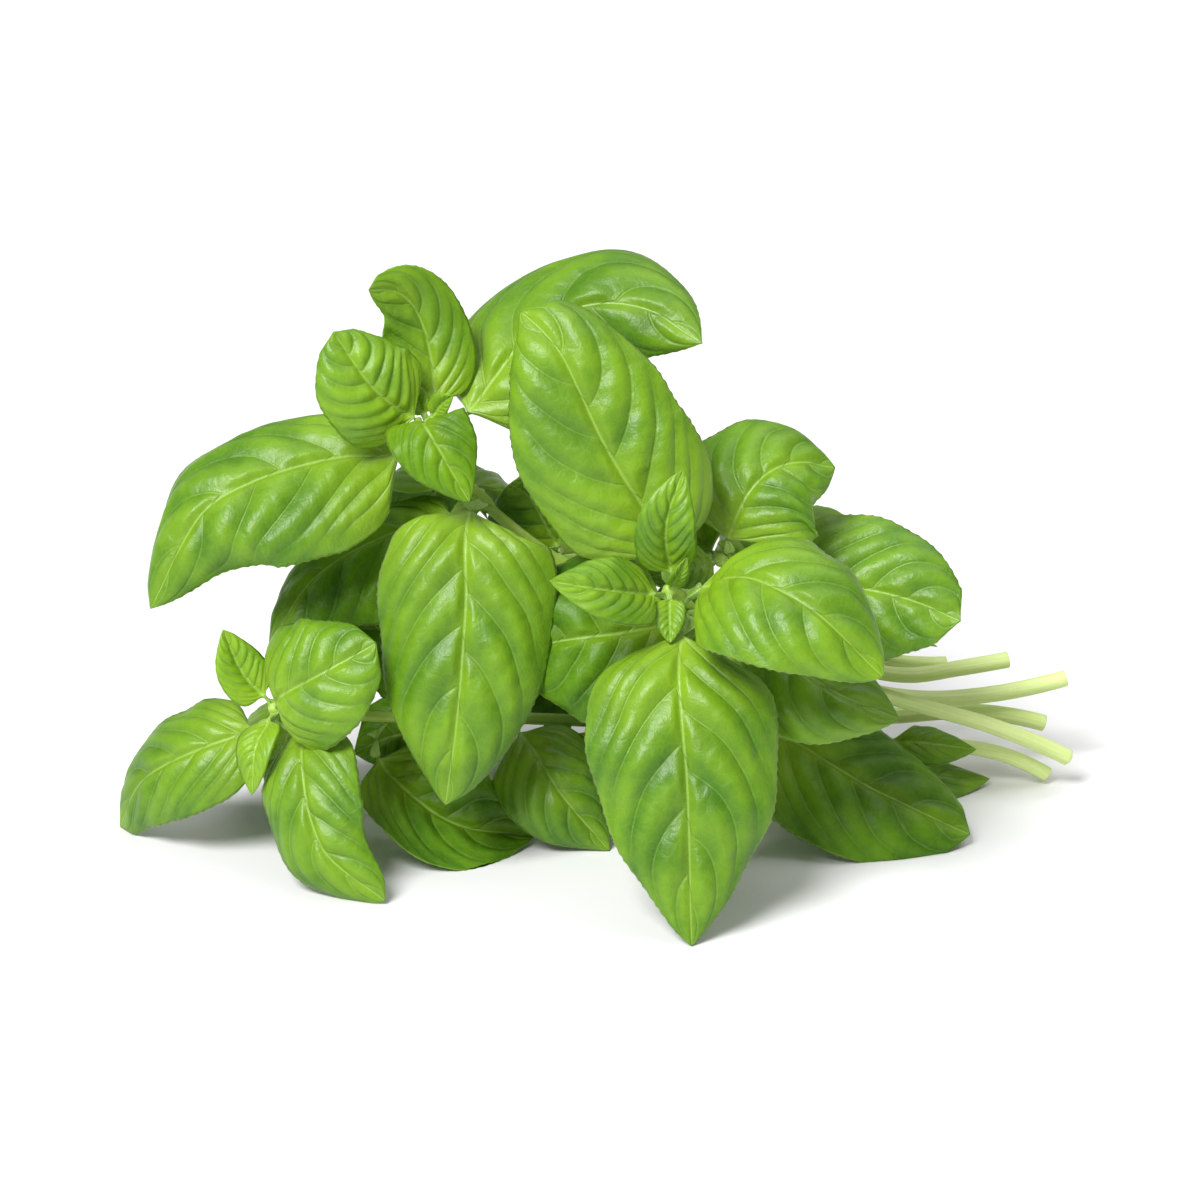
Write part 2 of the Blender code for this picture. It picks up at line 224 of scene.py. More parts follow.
def smooth_through(knots, values, places):
    """Values of a smooth curve through the knots, and straight on beyond its ends."""
    gaps = np.diff(knots)
    shape = (-1,) + (1,) * (values.ndim - 1)
    slopes = np.diff(values, axis=0) / gaps.reshape(shape)
    before, after = gaps[:-1].reshape(shape), gaps[1:].reshape(shape)
    inner = (after * slopes[:-1] + before * slopes[1:]) / (before + after)
    tangents = np.concatenate([2 * slopes[:1] - inner[:1], inner, slopes[-1:]])
    inside = np.clip(places, knots[0], knots[-1])
    spans = np.clip(np.searchsorted(knots, inside, side="right") - 1, 0, len(gaps) - 1)
    width = gaps[spans].reshape(shape)
    s = ((inside - knots[spans]) / gaps[spans]).reshape(shape)
    curve = (2 * s**3 - 3 * s**2 + 1) * values[spans] + (3 * s**2 - 2 * s**3) * values[spans + 1]
    curve = curve + (s**3 - 2 * s**2 + s) * width * tangents[spans]
    curve = curve + (s**3 - s**2) * width * tangents[spans + 1]
    beyond = (places - inside).reshape(shape)
    slope_there = np.where(beyond < 0, tangents[0], tangents[-1])
    return curve + beyond * slope_there


def ease(value, low, high):
    """0 below low, 1 above high, and an even S between them."""
    share = np.clip((value - low) / (high - low), 0.0, 1.0)
    return share * share * (3 - 2 * share)


def rising_from(low, share):
    """From low to 1 as the share goes from 0 to 1."""
    return low + (1 - low) * share


def bell(distance, width):
    """1 where the distance is 0, and falling away evenly on both sides."""
    return np.exp(-((distance / width) ** 2))


def lengths_along(points, axis):
    """Distance run along one axis of a grid of points, starting at 0."""
    steps = np.linalg.norm(np.diff(points, axis=axis), axis=-1)
    start = np.zeros_like(np.take(steps, [0], axis=axis))
    return np.concatenate([start, np.cumsum(steps, axis=axis)], axis=axis)


def unit_rows(vectors):
    """The vectors, each made one long."""
    return vectors / np.maximum(np.linalg.norm(vectors, axis=-1, keepdims=True), 1e-9)


def waves(random, x, y, shortest, longest, count=6):
    """A smooth, uneven pattern of about -1 to 1 over places given in millimetres."""
    total = np.zeros_like(x)
    for _ in range(count):
        angle = random.uniform(0, 2 * math.pi)
        length = random.uniform(shortest, longest)
        phase = random.uniform(0, 2 * math.pi)
        across = x * math.cos(angle) + y * math.sin(angle)
        total += np.sin(2 * math.pi * across / length + phase)
    return total / math.sqrt(count)


# ---------------------------------------------------------------- leaves

LEAF_SEED = 7919

# The fine grid.  A stalk is carried on into its stem, rows stand a little closer together
# towards the tip, and columns towards the midrib.
STALK_ROOT = 1.4
ROW_SPACING = 0.55
LEAST_ROWS = 26
ROW_DRIFT = 0.04
COLUMN_SPACING = 0.62
SIDE_COLUMNS = (7, 44)
EVEN_COLUMNS = 0.45
CROWDED_COLUMNS = 0.55
CROWDING_POWER = 1.45
WIDEST_RING = 4
OUTLINE_CHANGE = (0.55, 1.5)
OUTLINE_START = (0.0, 0.04)
BLADE_START = (0.0, 0.09)

# Side veins run less far forward near the tip, and leave the midrib closer together at the
# base.  Those on the left and right stand a part of a gap apart.
RISE_ALONG = (1.0, 0.75)
STRAIGHT_ARCH = 0.4
CURVED_ARCH = 0.6
VEIN_WANDER = 0.022
WANDER_LENGTHS = (14, 34)
VEIN_POWER = 0.82
POWER_START = 0.02
VEIN_JITTER = 0.12
VEIN_STAGGER = 0.22
STAGGER_START = (0.0, 0.04)
FIRST_VEIN = 0.35
DRIFT_START = (0.0, 0.12)
VEIN_GAPS = (1.0, 14.0)

# Relief.  Its heights are for leaves at least FULL_WIDTH wide, and less on narrower ones.
# Pairs named ALONG are for the blade's base and its tip.
FULL_WIDTH = 36.0
QUILTED_FROM_MIDRIB = (0.15, 2.2)
QUILTED_TO_MARGIN = (0.62, 1.0)
QUILTED_FROM_BASE = (-0.02, 0.12)
QUILTED_TO_TIP = (0.9, 1.0)
CREASE_ROUNDING = 0.004
CREASE_LEVEL = 0.06
SWELLING_GAPS = (1.5, 8.0)
CROWDED_GAPS = (1.4, 4.2)
SWELL_LOST_IN_CROWD = 0.85
LUMP_HEIGHT = 0.09
LUMP_LENGTHS = (3.0, 7.0)
LUMP_WAVES = 8
SWAY_HEIGHT = 0.5
SWAY_LENGTHS = (16, 38)
RIPPLE_HEIGHT = 0.45
RIPPLE_COUNTS = (2.2, 3.6)
RIPPLE_STAGGER = 0.35
MARGIN_ROLL = 0.25
ROLLED_MARGIN = (0.88, 1.0)
GROOVE_DEPTH_ALONG = (0.3, 0.12)
GROOVE_HALF_WIDTH_ALONG = (0.69, 0.27)
CALM_TIP = (0.93, 1.0)
RELIEF_LOST_AT_TIP = 0.6

# The toothed margin.  Each tooth leans towards the tip, and their spacing is a little uneven.
TOOTH_SPACING = 2.5
TOOTH_LEAN = 1.7
TOOTH_UNEVENNESS = 0.12
UNEVEN_BEAT = 2.1
TOOTH_REACH_POWER = 9
TOOTHED_FROM_BASE = (0.1, 0.25)
TOOTHED_TO_TIP = (0.93, 1.0)

# The underside, with a keel under the midrib and a rib under each side vein.
RIM_POWER = 14
KEEL_DEPTH_ALONG = (0.95, 0.1425)
KEEL_HALF_WIDTH_ALONG = (0.825, 0.375)
RIB_DEPTH = 0.16
RIB_HALF_WIDTH = 0.55
THIN_TIP = (0.9, 1.0)
DEPTH_LOST_AT_TIP = 0.5
UNDER_BLADE_START = (0.0, 0.08)


class Blade:
    """The fine grid of one leaf: rows along the midrib and columns across it."""

    def __init__(self, node):
        self.node = node
        self.habit = HABITS[SLOTS[node]]
        self.random = np.random.default_rng(sum(map(ord, node)) * LEAF_SEED)
        self.rings, _, self.tip = read_leaf(node)
        self.lay_grid()
        self.round_outline()
        self.measure()
        self.trace_veins()
        self.raise_surface()

    def lay_grid(self):
        """Spreads a smooth grid through the CAD rings, from inside the stem to the tip."""
        half = LEAF_SIDES // 2
        tip = np.repeat(self.tip[None, None], half + 1, axis=1)
        upper = np.concatenate([self.rings[:, : half + 1], tip])
        lower = np.concatenate([self.rings[:, half:], self.rings[:, :1]], axis=1)[:, ::-1]
        lower = np.concatenate([lower, tip])
        marks = lengths_along(upper[:, half // 2], axis=0)
        self.stalk = marks[1]
        self.length = marks[-1]
        self.width = lengths_along(upper[WIDEST_RING], axis=0)[-1]
        row_count = max(LEAST_ROWS, round((self.length + STALK_ROOT) / ROW_SPACING))
        shares = np.linspace(0, 1, row_count)
        shares = shares + ROW_DRIFT * np.sin(math.pi * shares) * shares
        self.rows = (-STALK_ROOT + shares * (self.length + STALK_ROOT))[:-1]
        side_count = int(np.clip(round(0.5 * self.width / COLUMN_SPACING), *SIDE_COLUMNS))
        reach = np.linspace(0, 1, side_count + 1)
        reach = EVEN_COLUMNS * reach + CROWDED_COLUMNS * reach**CROWDING_POWER
        self.columns = np.concatenate([-reach[:0:-1], reach])

        def spread(ring_points):
            along = smooth_through(marks, ring_points, self.rows)
            fine = smooth_through(RING_SHARES, along.swapaxes(0, 1), self.columns)
            return fine.swapaxes(0, 1)

        self.upper = spread(upper)
        self.lower = spread(lower)

    def round_outline(self):
        """Widens or narrows each row about its midrib to a basil blade's outline."""
        middle = len(self.columns) // 2
        run = lengths_along(self.upper, axis=1)[:, -1]
        v = (self.rows - self.stalk) / (self.length - self.stalk)
        at_base = BASE_SLIMNESS.get(self.node, 1.0)
        at_tip = TIP_SLIMNESS.get(self.node, 1.0)
        widths = OUTLINE_WIDTHS ** np.where(OUTLINE_PLACES < WIDEST_PLACE, at_base, at_tip)
        wanted = smooth_through(OUTLINE_PLACES, widths[:, None], v)[:, 0] * run.max()
        change = np.clip(wanted / np.maximum(run, 0.1), *OUTLINE_CHANGE)
        change = 1 + (change - 1) * ease(v, *OUTLINE_START)
        for side in (self.upper, self.lower):
            centre = side[:, middle : middle + 1]
            side[:] = centre + (side - centre) * change[:, None, None]

    def measure(self):
        """Distances in millimetres and shares over the grid.

        x and y run across from the midrib and along from the blade's base.  u and v are
        the shares of the way from the midrib to a margin and from the base to the tip.
        """
        middle = len(self.columns) // 2
        run = lengths_along(self.upper, axis=1)
        self.x = run - run[:, middle : middle + 1]
        self.y = np.repeat((self.rows - self.stalk)[:, None], len(self.columns), axis=1)
        self.u = np.repeat(self.columns[None], len(self.rows), axis=0)
        self.v = np.clip(self.y / (self.length - self.stalk), -1.0, 1.0)
        self.reach = np.abs(self.u)
        self.onward = np.clip(self.v, 0, 1)
        self.scale = min(1.0, self.width / FULL_WIDTH)
        across = np.gradient(self.upper, axis=1)
        self.across = unit_rows(across)
        self.normal = unit_rows(np.cross(across, np.gradient(self.upper, axis=0)))
        self.blade = ease(self.v, *BLADE_START)
        half_width = 0.5 * (self.x[:, -1:] - self.x[:, :1])
        self.girth = np.clip(half_width / (0.5 * self.width), 0.0, 1.0)

    def along(self, at_base, at_tip):
        """A value that changes evenly from the blade's base to its tip."""
        return at_base + (at_tip - at_base) * self.onward

    def trace_veins(self):
        """The phase that is a whole number on each side vein, and their spacing."""
        reach = self.reach
        rise = self.habit["rise"] * self.along(*RISE_ALONG)
        wander = VEIN_WANDER * waves(self.random, self.x, self.y, *WANDER_LENGTHS)
        arch = STRAIGHT_ARCH * reach + CURVED_ARCH * reach**2
        leaving = self.v - rise * arch + wander * reach
        spread = (np.abs(leaving) + POWER_START) ** VEIN_POWER - POWER_START**VEIN_POWER
        jitter = self.random.uniform(-VEIN_JITTER, VEIN_JITTER)
        offset = jitter + VEIN_STAGGER * np.sign(self.u) * ease(reach, *STAGGER_START)
        self.phase = self.habit["pairs"] * (np.sign(leaving) * spread) + offset + FIRST_VEIN
        climb = np.gradient(self.phase, axis=0) / np.maximum(np.gradient(self.y, axis=0), 1e-6)
        drift = np.gradient(self.phase, axis=1) / np.maximum(np.gradient(self.x, axis=1), 1e-3)
        slope = np.sqrt(climb**2 + (drift * ease(reach, *DRIFT_START)) ** 2)
        self.gap = np.clip(1.0 / np.maximum(slope, 1e-3), *VEIN_GAPS)
        self.from_vein = np.abs(self.phase - np.round(self.phase)) * self.gap

    def quilting(self):
        """How much of the relief of the veins shows: less at the midrib and all margins."""
        start, end = QUILTED_FROM_MIDRIB
        fade = ease(np.abs(self.x), start, end * rising_from(0.4, self.scale))
        fade = fade * (1 - ease(self.reach, *QUILTED_TO_MARGIN))
        fade = fade * ease(self.v, *QUILTED_FROM_BASE) * (1 - ease(self.v, *QUILTED_TO_TIP))
        return fade * rising_from(0.35, self.girth)

    def heights(self, quilting):
        """How far the upper side stands off the smooth grid."""
        scale, reach, random = self.scale, self.reach, self.random
        dome = np.sqrt(np.sin(math.pi * self.phase) ** 2 + CREASE_ROUNDING) - CREASE_LEVEL
        low_gap, high_gap = CROWDED_GAPS
        crowding = 1 - ease(self.gap, low_gap * scale, high_gap * scale)
        bulge = self.habit["swell"] * np.clip(self.gap, *SWELLING_GAPS) * dome * quilting
        bulge = bulge * (1 - SWELL_LOST_IN_CROWD * crowding)
        lumps = waves(random, self.x, self.y, *LUMP_LENGTHS, LUMP_WAVES)
        lumps = LUMP_HEIGHT * lumps * quilting * scale
        sway = waves(random, self.x, self.y, *SWAY_LENGTHS)
        sway = SWAY_HEIGHT * sway * scale * self.blade * rising_from(0.3, reach)
        ripple_count = random.uniform(*RIPPLE_COUNTS)
        turn = random.uniform(0, 1) + RIPPLE_STAGGER * np.sign(self.u)
        ripple = np.sin(2 * math.pi * (ripple_count * self.v + turn))
        ripple = RIPPLE_HEIGHT * scale * ripple * reach**3 * self.blade * self.girth
        roll = MARGIN_ROLL * scale * ease(reach, *ROLLED_MARGIN) * self.blade
        groove_width = self.along(*GROOVE_HALF_WIDTH_ALONG) * rising_from(0.5, scale)
        groove_depth = self.along(*GROOVE_DEPTH_ALONG) * rising_from(0.45, scale)
        groove = groove_depth * bell(self.x, groove_width)
        height = bulge + lumps + sway + ripple - roll - groove
        return height * (1 - RELIEF_LOST_AT_TIP * ease(self.v, *CALM_TIP))

    def teeth(self):
        """How far each point moves across the blade to make the toothed margin."""
        side = np.sign(self.u)
        margin_run = lengths_along(self.upper, axis=0)
        beat = margin_run / TOOTH_SPACING + self.random.uniform(0, 1) * (1 + side)
        beat = beat + TOOTH_UNEVENNESS * np.sin(beat * UNEVEN_BEAT)
        tooth = -0.5 * np.cos(2 * math.pi * np.mod(beat, 1.0) ** TOOTH_LEAN)
        tooth = tooth * self.habit["teeth"] * self.scale * self.reach**TOOTH_REACH_POWER
        tooth = tooth * ease(self.v, *TOOTHED_FROM_BASE) * (1 - ease(self.v, *TOOTHED_TO_TIP))
        return side * tooth

    def depths(self, quilting):
        """How far the underside lies below the upper side."""
        rim = np.sqrt(np.clip(1 - self.reach**RIM_POWER, 0, 1))
        keel_width = self.along(*KEEL_HALF_WIDTH_ALONG) * rising_from(0.45, self.scale)
        keel = self.along(*KEEL_DEPTH_ALONG) * self.scale * bell(self.x, keel_width)
        ribs = RIB_DEPTH * self.scale * bell(self.from_vein, RIB_HALF_WIDTH) * quilting
        depth = self.habit["thickness"] * rim + keel + ribs
        return depth * (1 - DEPTH_LOST_AT_TIP * ease(self.v, *THIN_TIP))

    def raise_surface(self):
        """Moves the grid out to the finished upper and lower sides."""
        quilting = self.quilting()
        upper = self.upper + self.normal * self.heights(quilting)[..., None]
        upper = upper + self.across * self.teeth()[..., None]
        under_blade = upper - self.normal * self.depths(quilting)[..., None]
        blend = ease(self.v, *UNDER_BLADE_START)[..., None]
        lower = self.lower + (under_blade - self.lower) * blend
        lower[:, 0], lower[:, -1] = upper[:, 0], upper[:, -1]
        self.upper, self.lower = upper, lower


def around(upper, lower):
    """Joins values on both sides of a blade into rings: over the top, then back below."""
    return np.concatenate([upper, lower[:, -2:0:-1]], axis=1)


# Where things lie on the square bake map, as shares of it.
BAKE_MARGIN = 0.01
BAKE_SPAN = 0.98
UPPER_SIDE_START = 0.015
UNDERSIDE_START = 0.515
BLADE_SIDE_SPAN = 0.47
START_FAN_HEIGHT = 0.002
END_FAN_HEIGHT = 0.998


def grid_faces(row_count, ring_size):
    """Quads round a tube of rings, and a fan at each end, as rows of point numbers."""
    i = np.arange(ring_size)
    j = (i + 1) % ring_size
    rows = np.arange(row_count - 1)[:, None] * ring_size
    quads = np.stack([rows + i, rows + j, rows + ring_size + j, rows + ring_size + i], axis=-1)
    first, last = row_count * ring_size, row_count * ring_size + 1
    end_row = (row_count - 1) * ring_size
    start_fan = np.stack([np.full(ring_size, first), j, i], axis=-1)
    end_fan = np.stack([np.full(ring_size, last), end_row + i, end_row + j], axis=-1)
    return quads.reshape(-1, 4), start_fan, end_fan


def fan_corners(left, right, height):
    """Bake map corners of one end's fan of triangles, with their middle at a given height."""
    middle = 0.5 * (left + right)
    middle = np.stack([middle[:, 0], np.full(len(left), height)], axis=-1)
    return np.stack([middle, left, right], axis=1).reshape(-1, 2)


def tube_object(name, rings, start, end, attributes, bake_places):
    """A closed mesh of rings of points, with named values on its points.

    bake_places gives each ring point's place on the bake map, once for the face on its
    one side and once for the face on its other side.
    """
    row_count, ring_size = rings.shape[:2]
    points = np.concatenate([rings.reshape(-1, 3), start[None], end[None]]) * METRES
    faces = [tuple(face) for part in grid_faces(row_count, ring_size) for face in part.tolist()]
    mesh = bpy.data.meshes.new(name)
    mesh.from_pydata(points, [], faces)
    mesh.shade_smooth()
    for label, values in attributes.items():
        flat = values.reshape(-1, 3)
        ends = [flat[:ring_size].mean(axis=0), flat[-ring_size:].mean(axis=0)]
        layer = mesh.attributes.new(label, "FLOAT_VECTOR", "POINT")
        vectors = np.concatenate([flat, ends]).astype(np.float32)
        layer.data.foreach_set("vector", vectors.ravel())
    here, after = bake_places
    quads = np.stack([here[:-1], after[:-1], after[1:], here[1:]], axis=2).reshape(-1, 2)
    start_fan = fan_corners(after[0], here[0], START_FAN_HEIGHT)
    end_fan = fan_corners(here[-1], after[-1], END_FAN_HEIGHT)
    corners = np.concatenate([quads, start_fan, end_fan]).astype(np.float32)
    mesh.uv_layers.new(name="OFBake").uv.foreach_set("vector", corners.ravel())
    made = bpy.data.objects.new(name, mesh)
    bpy.context.scene.collection.objects.link(made)
    return made


def on_grid(size, *values):
    """The values side by side over a grid of rows and columns."""
    return np.stack([np.broadcast_to(value, size) for value in values], axis=-1)


def blade_bake_places(blade):
    """The upper side fills the bake map's left half and the underside its right half."""
    share = 0.5 * (blade.columns + 1)
    left = UPPER_SIDE_START + BLADE_SIDE_SPAN * share
    right = UNDERSIDE_START + BLADE_SIDE_SPAN * share
    here = np.concatenate([left[:-1], right[:0:-1]])
    after = np.concatenate([left[1:], right[-2::-1]])
    run = blade.rows - blade.rows[0]
    up = (BAKE_MARGIN + BAKE_SPAN * run / (run[-1] + ROW_SPACING))[:, None]
    size = (len(up), len(here))
    return on_grid(size, here, up), on_grid(size, after, up)


def make_leaf(node, tissue):
    """The finished leaf that stands for one CAD leaf."""
    blade = Blade(node)
    rings = around(blade.upper, blade.lower)
    rings[..., 2] = np.maximum(rings[..., 2], LEAST_HEIGHT)
    tone = np.full_like(blade.x, blade.random.uniform(0, 1))
    place = np.stack([blade.x, blade.y, blade.phase], axis=-1)
    shares = np.stack([blade.gap, blade.reach, blade.v], axis=-1)
    over = np.stack([tone, np.zeros_like(tone), np.zeros_like(tone)], axis=-1)
    under = over + np.array([0.0, 1.0, 0.0])
    attributes = {
        "blade_place": around(place, place),
        "blade_shares": around(shares, shares),
        "blade_side": around(over, under),
    }
    start = rings[0].mean(axis=0)
    tip = np.array([blade.tip[0], blade.tip[1], max(blade.tip[2], LEAST_HEIGHT)])
    leaf = tube_object("fine_" + node, rings, start, tip, attributes, blade_bake_places(blade))
    leaf.data.materials.append(tissue)
    return leaf


# ---------------------------------------------------------------- stems

STEM_SEED = 104729
STEM_ROW_SPACING = 0.8
STEM_POINTS = 32

# A stem thickens where a leaf's stalk starts this near to its skin.
NODE_NEARNESS = 3.0
NODE_SWELL = 0.28
NODE_HALF_LENGTH = 1.9
NODE_LIMIT = 1.45

# Basil stems are square with rounded corners, twist a little and are finely ribbed.
SQUARENESS = 0.055
CORNER_ROUNDING = 0.02
TWIST = 0.25
TWIST_LENGTH = 37.0
RIB_COUNT = 11
RIB_HEIGHT = 0.012
RIB_TWIST = 0.05

# The cut face, from near its middle outwards, and the shoot tip, from the stem inwards.
CUT_SHARES = np.array([0.2, 0.5, 0.78, 0.93])
CUT_BULGE = 0.27
CUT_HOLLOW = 0.12
TIP_RINGS = ((0.85, 0.35), (0.55, 0.75))


def leaf_bases():
    """Where every leaf's stalk leaves its stem."""
    return np.array([read_leaf(node)[1] for node, slot in SLOTS.items() if slot != STEM_SLOT])


def carried_sides(headings):
    """A direction across the stem at every row, near level at first and then not turning."""
    sides = [unit_rows(np.cross(headings[0], np.array([0.0, 0.3, 1.0])))]
    for heading in headings[1:]:
        sides.append(unit_rows(sides[-1] - heading * np.dot(sides[-1], heading)))
    return np.array(sides)


def stem_radius(axis, rows, plain, bases):
    """The stem's radius at every row, with a swelling at each leaf."""
    radius = plain
    for base in bases:
        gaps = np.linalg.norm(axis - base, axis=1)
        nearest = int(np.argmin(gaps))
        if gaps[nearest] < radius[nearest] + NODE_NEARNESS:
            swelling = NODE_SWELL * bell(rows - rows[nearest], NODE_HALF_LENGTH)
            radius = radius + radius * swelling
    return np.minimum(radius, NODE_LIMIT * plain)


def make_stem(node, tissue, bases):
    """The finished stem that stands for one CAD stem."""
    random = np.random.default_rng(sum(map(ord, node)) * STEM_SEED)
    centres, radii = read_stem(node)
    marks = lengths_along(centres, axis=0)
    rows = np.linspace(0, marks[-1], round(marks[-1] / STEM_ROW_SPACING))
    axis = smooth_through(marks, centres, rows)
    plain = smooth_through(marks, radii[:, None], rows)[:, 0]
    radius = stem_radius(axis, rows, plain, bases)
    headings = unit_rows(np.gradient(axis, axis=0))
    sides = carried_sides(headings)
    ups = np.cross(headings, sides)
    turns = np.linspace(0, 2 * math.pi, STEM_POINTS, endpoint=False)
    twist = TWIST * np.sin(rows / TWIST_LENGTH + random.uniform(0, 6))[:, None]
    corner = 4 * (turns + (twist + random.uniform(0, 1.5)))
    square = 1 + SQUARENESS * np.cos(corner) - CORNER_ROUNDING * np.cos(2 * corner)
    rib_phase = RIB_COUNT * turns + RIB_TWIST * rows[:, None] + random.uniform(0, 6)
    thickness = radius[:, None] * (square + RIB_HEIGHT * np.sin(rib_phase))
    spokes = np.cos(turns)[..., None] * sides[:, None] + np.sin(turns)[..., None] * ups[:, None]
    rings = axis[:, None] + spokes * thickness[..., None]

    cut_rings = []
    for share in CUT_SHARES:
        ahead = CUT_BULGE * math.sqrt(1 - share**6) - CUT_HOLLOW * (1 - share)
        centre = axis[0] - headings[0] * ahead
        cut_rings.append(centre + spokes[0] * (thickness[0] * share)[:, None])
    tip_rings = []
    for share, ahead in TIP_RINGS:
        centre = axis[-1] + headings[-1] * radius[-1] * ahead
        tip_rings.append(centre + spokes[-1] * (thickness[-1] * share)[:, None])
    rings = np.concatenate([cut_rings, rings, tip_rings])
    rings[..., 2] = np.maximum(rings[..., 2], LEAST_HEIGHT)
    start = rings[0].mean(axis=0)
    end = axis[-1] + headings[-1] * radius[-1]

    along = np.pad(rows, (len(cut_rings), len(tip_rings)), mode="edge")[:, None]
    cut = np.pad(1 - CUT_SHARES + 0.1, (0, len(rows) + len(tip_rings)))[:, None]
    size = (len(along), STEM_POINTS)
    a, b = 2 * np.cos(turns), 2 * np.sin(turns)
    attributes = {
        "stem_place": on_grid(size, a, b, along),
        "stem_shares": on_grid(size, along / marks[-1], cut, random.uniform(0, 1)),
    }
    run = lengths_along(rings.mean(axis=1), axis=0)
    up = BAKE_MARGIN + BAKE_SPAN * (run / run[-1])[:, None]
    across = BAKE_MARGIN + BAKE_SPAN * np.arange(STEM_POINTS + 1) / STEM_POINTS
    bake_places = (on_grid(size, across[:-1], up), on_grid(size, across[1:], up))
    stem = tube_object("fine_" + node, rings, start, end, attributes, bake_places)
    stem.data.materials.append(tissue)
    return stem


# ---------------------------------------------------------------- materials


class Graph:
    """Shorthand for wiring up one material's nodes."""

    def __init__(self, name):
        self.material = bpy.data.materials.new(name)
        self.material.use_nodes = True
        self.tree = self.material.node_tree
        self.shader = self.tree.nodes["Principled BSDF"]

    def feed(self, socket, value):
        """Wires another node's output to the socket, or sets the socket's own value."""
        if isinstance(value, bpy.types.NodeSocket):
            self.tree.links.new(value, socket)
        elif isinstance(value, tuple) and len(value) == 3 and socket.type == "RGBA":
            socket.default_value = (*value, 1.0)
        else:
            socket.default_value = value

    def feed_all(self, node, inputs):
        """Feeds a node's sockets by name, with _ for a space."""
        for key, value in inputs.items():
            self.feed(node.inputs[key.replace("_", " ")], value)

    def add(self, kind, settings=None, **inputs):
        node = self.tree.nodes.new(kind)
        for key, value in (settings or {}).items():
            setattr(node, key, value)
        self.feed_all(node, inputs)
        return node

    def finish(self, **inputs):
        """Feeds the shader and gives the finished material."""
        self.feed_all(self.shader, inputs)
        return self.material

    def math(self, operation, a, b=0.0):
        node = self.tree.nodes.new("ShaderNodeMath")
        node.operation = operation
        self.feed(node.inputs[0], a)
        self.feed(node.inputs[1], b)
        return node.outputs[0]

    def times(self, a, b):
        return self.math("MULTIPLY", a, b)

    def plus(self, a, b):
        return self.math("ADD", a, b)

    def less(self, value, start=1.0):
        """What the value leaves of the start."""
        return self.math("SUBTRACT", start, value)

    def blend(self, *parts, start=None):
        """The sum of values, each times its weight, on top of the start."""
        total = start
        for value, weight in parts:
            part = self.times(value, weight)
            total = part if total is None else self.plus(total, part)
        return total

    def ease(self, value, low, high):
        node = self.add("ShaderNodeMapRange", {"interpolation_type": "SMOOTHSTEP"})
        for key, item in zip((0, 1, 2), (value, low, high)):
            self.feed(node.inputs[key], item)
        return node.outputs[0]

    def near(self, value, low, high):
        """1 below low, 0 above high, and an even S between them."""
        return self.less(self.ease(value, low, high))

    def mix(self, share, a, b):
        node = self.add("ShaderNodeMix", {"data_type": "RGBA"})
        self.feed(node.inputs["Factor"], share)
        self.feed(node.inputs[6], a)
        self.feed(node.inputs[7], b)
        return node.outputs[2]

    def paint(self, colour, *coats):
        """The colour under coats, each given as its place, its strength and its colour."""
        for place, strength, coat in coats:
            colour = self.mix(self.times(place, strength), colour, coat)
        return colour

    def attribute(self, name):
        found = self.add("ShaderNodeAttribute", {"attribute_name": name})
        parts = self.add("ShaderNodeSeparateXYZ", Vector=found.outputs["Vector"])
        return parts.outputs[0], parts.outputs[1], parts.outputs[2]

    def vector(self, x, y, z):
        return self.add("ShaderNodeCombineXYZ", X=x, Y=y, Z=z).outputs[0]

    def noise(self, vector, scale, detail):
        node = self.add("ShaderNodeTexNoise", Vector=vector, Scale=scale, Detail=detail)
        return node.outputs["Fac"]

    def cell_edges(self, vector, scale):
        settings = {"feature": "DISTANCE_TO_EDGE"}
        node = self.add("ShaderNodeTexVoronoi", settings, Vector=vector, Scale=scale)
        return node.outputs["Distance"]

    def bump(self, height, strength):
        """Normals for a height in millimetres."""
        node = self.add("ShaderNodeBump", Height=height, Distance=METRES, Strength=strength)
        return node.outputs[0]


# The leaf_deep colours are leaf_bright's made darker, as painted shade on the leaves that lie
# deep inside the bunch.
LEAF_COLOURS = {
    "leaf_young": {"bright": (0.22, 0.41, 0.009), "deep": (0.045, 0.155, 0.003)},
    "leaf_bright": {"bright": (0.185, 0.36, 0.008), "deep": (0.035, 0.135, 0.002)},
    "leaf_deep": {"bright": (0.13, 0.29, 0.005), "deep": (0.017, 0.08, 0.001)},
}
LEAF_GLOSS = {"leaf_young": 0.55, "leaf_bright": 0.55, "leaf_deep": 0.3}
PALE_VEIN = (0.36, 0.56, 0.12)
YELLOW_BASE = (0.29, 0.47, 0.015)
UNDERSIDE = (0.22, 0.40, 0.08)

# Each leaf and stem takes its noise from its own slice, up to this far along.
LEAF_SLICES = 90.0
STEM_SLICES = 60.0

# Texture scales, per millimetre.
NET_SCALE = 0.42
FINE_NET_SCALE = 1.25
PATCH_SCALE = 0.075
MOTTLE_SCALE = 0.55
GRAIN_SCALE = 2.4
STREAK_SCALE = 1.6
BLOTCH_SCALE = 0.35

# Lengths along a stem are squeezed by this for its streaks, which draws them out.
STREAK_SQUEEZE = 0.05

# How much light runs through a leaf or stem, and how far in millimetres for each colour.
LEAF_GLOW = {"Subsurface_Weight": 0.12, "Subsurface_Radius": (0.6, 1.0, 0.15)}
STEM_GLOW = {"Subsurface_Weight": 0.15, "Subsurface_Radius": (1.0, 1.2, 0.4)}


